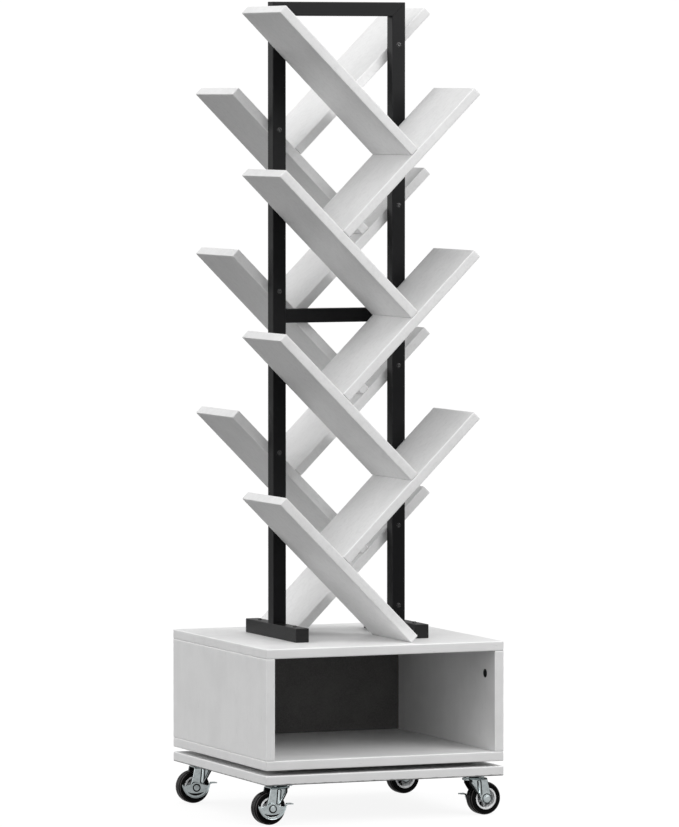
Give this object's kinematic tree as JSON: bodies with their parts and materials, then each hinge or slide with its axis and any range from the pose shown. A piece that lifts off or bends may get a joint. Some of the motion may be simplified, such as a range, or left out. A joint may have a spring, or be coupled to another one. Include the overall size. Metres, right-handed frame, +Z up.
{
  "type": "tree shaped bookshelf",
  "caption": "Turning tree-shaped bookshelf: slanted shelf boards crossing on both sides of a steel frame, over an open cabinet on a rolling base with casters.",
  "frame": {"origin": "on the floor under the middle of the cabinet", "axes": "+Z up, -Y towards the open front of the cabinet, +X to the right seen from the front"},
  "size_m": [0.4163, 0.4, 1.273],
  "materials": {
    "white_board": "white melamine with a faint wood grain, satin",
    "dark_panel": "dark hardboard, matt",
    "black_steel": "black powder coat, satin",
    "black_plastic": "matt black plastic",
    "zinc_steel": "bright zinc plate over pressed steel",
    "bearing_steel": "polished bearing balls in a pressed cage",
    "grey_hub": "light grey moulded plastic",
    "black_rubber": "black rubber, slightly scuffed"
  },
  "bodies": {
    "base": {"base_board": "white_board", "turntable_lower": "zinc_steel", "caster_plate_front_left": "zinc_steel", "caster_plate_back_left": "zinc_steel", "caster_plate_front_right": "zinc_steel", "caster_plate_back_right": "zinc_steel"},
    "ball_cage": {"turntable_cage": "bearing_steel"},
    "bookshelf": {"turntable_upper": "zinc_steel", "cabinet_bottom": "white_board", "cabinet_top": "white_board", "cabinet_left": "white_board", "cabinet_right": "white_board", "cabinet_back": "dark_panel", "cam_cap_left": "black_plastic", "cam_cap_right": "black_plastic", "upright_right": "black_steel", "upright_left": "black_steel", "top_bar": "black_steel", "crossbar": "black_steel", "foot_left": "black_steel", "foot_right": "black_steel", "foot_cap_left_front": "black_plastic", "foot_cap_left_back": "black_plastic", "foot_cap_right_front": "black_plastic", "foot_cap_right_back": "black_plastic", "front_shelf_left_1": "white_board", "front_shelf_left_2": "white_board", "front_shelf_left_3": "white_board", "front_shelf_left_4": "white_board", "front_shelf_right_1": "white_board", "front_shelf_right_2": "white_board", "front_shelf_right_3": "white_board", "back_shelf_right_1": "white_board", "back_shelf_right_2": "white_board", "back_shelf_right_3": "white_board", "back_shelf_right_4": "white_board", "back_shelf_left_1": "white_board", "back_shelf_left_2": "white_board", "back_shelf_left_3": "white_board"},
    "caster_front_left": {"fork_front_left": "zinc_steel", "axle_front_left": "zinc_steel"},
    "wheel_front_left": {"hub_front_left": "grey_hub", "tyre_front_left": "black_rubber"},
    "brake_pedal_front_left": {"brake_front_left": "zinc_steel"},
    "caster_back_left": {"fork_back_left": "zinc_steel", "axle_back_left": "zinc_steel"},
    "wheel_back_left": {"hub_back_left": "grey_hub", "tyre_back_left": "black_rubber"},
    "brake_pedal_back_left": {"brake_back_left": "zinc_steel"},
    "caster_front_right": {"fork_front_right": "zinc_steel", "axle_front_right": "zinc_steel"},
    "wheel_front_right": {"hub_front_right": "grey_hub", "tyre_front_right": "black_rubber"},
    "brake_pedal_front_right": {"brake_front_right": "zinc_steel"},
    "caster_back_right": {"fork_back_right": "zinc_steel", "axle_back_right": "zinc_steel"},
    "wheel_back_right": {"hub_back_right": "grey_hub", "tyre_back_right": "black_rubber"},
    "brake_pedal_back_right": {"brake_back_right": "zinc_steel"}
  },
  "joints": [
    {"name": "turntable_turn", "type": "hinge", "parent": "base", "child": "bookshelf", "pos_m": [0, 0, 0.083], "axis": [0, 0, 1], "continuous": true},
    {"name": "ball_cage_turn", "type": "hinge", "parent": "base", "child": "ball_cage", "pos_m": [0, 0, 0.083], "axis": [0, 0, 1], "continuous": true},
    {"name": "swivel_front_left", "type": "hinge", "parent": "base", "child": "caster_front_left", "pos_m": [-0.162, -0.162, 0.058], "axis": [0, 0, 1], "continuous": true},
    {"name": "wheel_spin_front_left", "type": "hinge", "parent": "caster_front_left", "child": "wheel_front_left", "pos_m": [-0.18199, -0.1627, 0.026], "axis": [0.0349, -0.9994, 0], "continuous": true},
    {"name": "brake_press_front_left", "type": "hinge", "parent": "caster_front_left", "child": "brake_pedal_front_left", "pos_m": [-0.18199, -0.1627, 0.026], "axis": [-0.0349, 0.9994, 0], "range_deg": [0, 18]},
    {"name": "swivel_back_left", "type": "hinge", "parent": "base", "child": "caster_back_left", "pos_m": [-0.162, 0.162, 0.058], "axis": [0, 0, 1], "continuous": true},
    {"name": "wheel_spin_back_left", "type": "hinge", "parent": "caster_back_left", "child": "wheel_back_left", "pos_m": [-0.182, 0.16218, 0.026], "axis": [-0.0087, -1, 0], "continuous": true},
    {"name": "brake_press_back_left", "type": "hinge", "parent": "caster_back_left", "child": "brake_pedal_back_left", "pos_m": [-0.182, 0.16218, 0.026], "axis": [0.0087, 1, 0], "range_deg": [0, 18]},
    {"name": "swivel_front_right", "type": "hinge", "parent": "base", "child": "caster_front_right", "pos_m": [0.162, -0.162, 0.058], "axis": [0, 0, 1], "continuous": true},
    {"name": "wheel_spin_front_right", "type": "hinge", "parent": "caster_front_right", "child": "wheel_front_right", "pos_m": [0.18199, -0.16148, 0.026], "axis": [-0.0262, 0.9997, 0], "continuous": true},
    {"name": "brake_press_front_right", "type": "hinge", "parent": "caster_front_right", "child": "brake_pedal_front_right", "pos_m": [0.18199, -0.16148, 0.026], "axis": [0.0262, -0.9997, 0], "range_deg": [0, 18]},
    {"name": "swivel_back_right", "type": "hinge", "parent": "base", "child": "caster_back_right", "pos_m": [0.162, 0.162, 0.058], "axis": [0, 0, 1], "continuous": true},
    {"name": "wheel_spin_back_right", "type": "hinge", "parent": "caster_back_right", "child": "wheel_back_right", "pos_m": [0.182, 0.16235, 0.026], "axis": [-0.0175, 0.9998, 0], "continuous": true},
    {"name": "brake_press_back_right", "type": "hinge", "parent": "caster_back_right", "child": "brake_pedal_back_right", "pos_m": [0.182, 0.16235, 0.026], "axis": [0.0175, -0.9998, 0], "range_deg": [0, 18]}
  ],
  "couplings": [
    {"joint": "ball_cage_turn", "follows": "turntable_turn", "ratio": 0.5}
  ]
}
